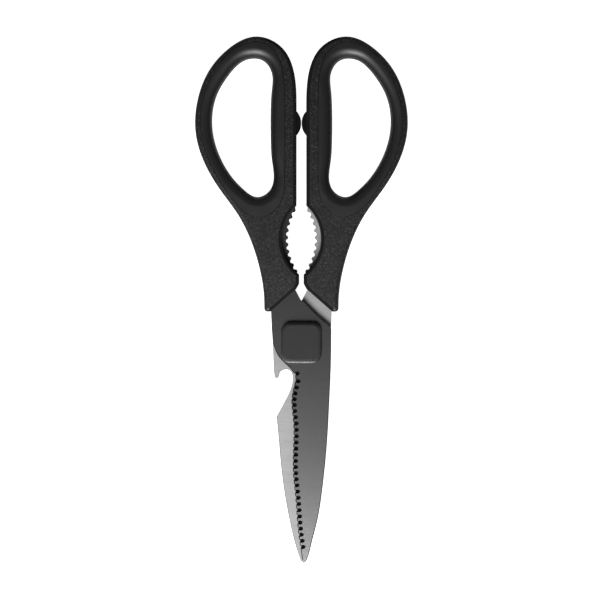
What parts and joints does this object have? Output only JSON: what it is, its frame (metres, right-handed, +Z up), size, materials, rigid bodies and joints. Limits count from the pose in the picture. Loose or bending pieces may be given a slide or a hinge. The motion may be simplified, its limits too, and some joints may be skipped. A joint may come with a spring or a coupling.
{
  "type": "kitchen shears",
  "caption": "Kitchen shears with a serrated blade, a bottle opener notch, a toothed gripping jaw and soft lined finger loops, opening about a capped pivot.",
  "frame": {"origin": "on the pivot axis, in the plane of the surface that the shears lie on (the rear cap's back face)", "axes": "+X to the right as seen from the front, +Y along the handles and away from the blades, +Z up the pivot axis and out of the front face"},
  "size_m": [0.0914, 0.2263, 0.0126],
  "materials": {
    "blade_steel": "brushed along the blade",
    "hardware_steel": "plain machined",
    "handle_plastic": "finely grained, black",
    "soft_liner": "smooth, satin, black",
    "cap_plastic": "smooth, satin, dark grey"
  },
  "bodies": {
    "rear_half": {"rear_blade": "blade_steel", "right_handle_front_shell": "handle_plastic", "right_handle_back_shell": "handle_plastic", "right_loop_liner": "soft_liner", "right_stop_bumper": "soft_liner", "right_lower_tang_pin": "hardware_steel", "right_upper_tang_pin": "hardware_steel", "pivot_washer": "hardware_steel", "rear_cap": "cap_plastic"},
    "front_half": {"front_blade": "blade_steel", "left_handle_front_shell": "handle_plastic", "left_handle_back_shell": "handle_plastic", "left_loop_liner": "soft_liner", "left_stop_bumper": "soft_liner", "left_lower_tang_pin": "hardware_steel", "left_upper_tang_pin": "hardware_steel", "pivot_bolt": "hardware_steel", "flat_washer": "hardware_steel", "spring_washer": "hardware_steel", "pivot_nut": "hardware_steel", "front_cap": "cap_plastic"}
  },
  "joints": [
    {"name": "blade_pivot", "type": "hinge", "parent": "rear_half", "child": "front_half", "pos_m": [0, 0, 0], "axis": [0, 0, 1], "range_deg": [0, 80]}
  ]
}
